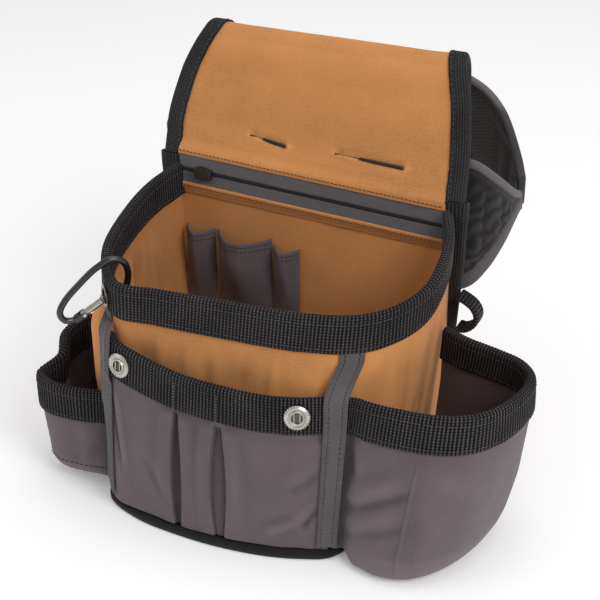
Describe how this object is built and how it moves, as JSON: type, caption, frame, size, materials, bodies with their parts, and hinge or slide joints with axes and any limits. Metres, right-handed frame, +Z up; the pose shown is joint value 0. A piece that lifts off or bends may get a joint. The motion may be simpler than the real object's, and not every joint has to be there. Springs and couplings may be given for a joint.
{
  "type": "tool waist bag",
  "caption": "Open canvas tool bag on a padded waist belt, with webbing-edged front and side pockets, a bound flap thrown back and a snap hook at the rim.",
  "frame": {"origin": "on the floor under the base panel, midway between the bag's side walls", "axes": "+Z up, the front pocket faces -Y, +X to the right seen from the front; the belt closes on the +Y side"},
  "size_m": [0.3013, 0.3071, 0.2552],
  "materials": {
    "tan_canvas": "matte",
    "grey_canvas": "matte",
    "grey_tape": "matte",
    "black_webbing": "matte",
    "black_binding": "matte",
    "black_mesh": "matte",
    "base_cloth": "matte",
    "black_plastic": "satin",
    "bright_metal": "satin",
    "dark_metal": "satin"
  },
  "bodies": {
    "bag": {"base_panel": "base_cloth", "body_shell": "tan_canvas", "back_panel": "tan_canvas", "rim_webbing": "black_webbing", "rim_eyelet": "dark_metal", "back_binding_left": "black_binding", "back_binding_right": "black_binding", "front_pocket": "grey_canvas", "front_pocket_webbing": "black_webbing", "right_pocket": "grey_canvas", "right_pocket_webbing": "black_webbing", "left_pocket": "grey_canvas", "left_pocket_webbing": "black_webbing", "seam_tape_left": "grey_tape", "seam_tape_right": "grey_tape", "pocket_snap_left": "bright_metal", "pocket_snap_right": "bright_metal", "tool_sleeve_left": "grey_canvas", "tool_sleeve_middle": "grey_canvas", "tool_sleeve_right": "grey_canvas", "zip_tape_lower": "grey_tape", "zip_tape_upper": "grey_tape", "zip_coil": "black_plastic", "zip_slider": "dark_metal", "flap": "tan_canvas", "flap_binding_left": "black_binding", "flap_binding_right": "black_binding", "flap_binding_end": "black_binding", "flap_snap_left": "bright_metal", "flap_snap_right": "bright_metal", "hip_pad": "grey_canvas", "lumbar_pad": "black_mesh", "belt_strap_left": "black_webbing", "belt_strap_right": "black_webbing", "belt_buckle": "black_plastic", "side_loop": "black_webbing", "carabiner_body": "dark_metal"},
    "gate": {"carabiner_gate": "bright_metal"}
  },
  "joints": [
    {"name": "gate_hinge", "type": "hinge", "parent": "bag", "child": "gate", "pos_m": [-0.0876, -0.07035, 0.12594], "axis": [0.6955, -0.7185, 0], "range_deg": [0, 25], "stiffness_Nm_per_rad": 0.01}
  ]
}
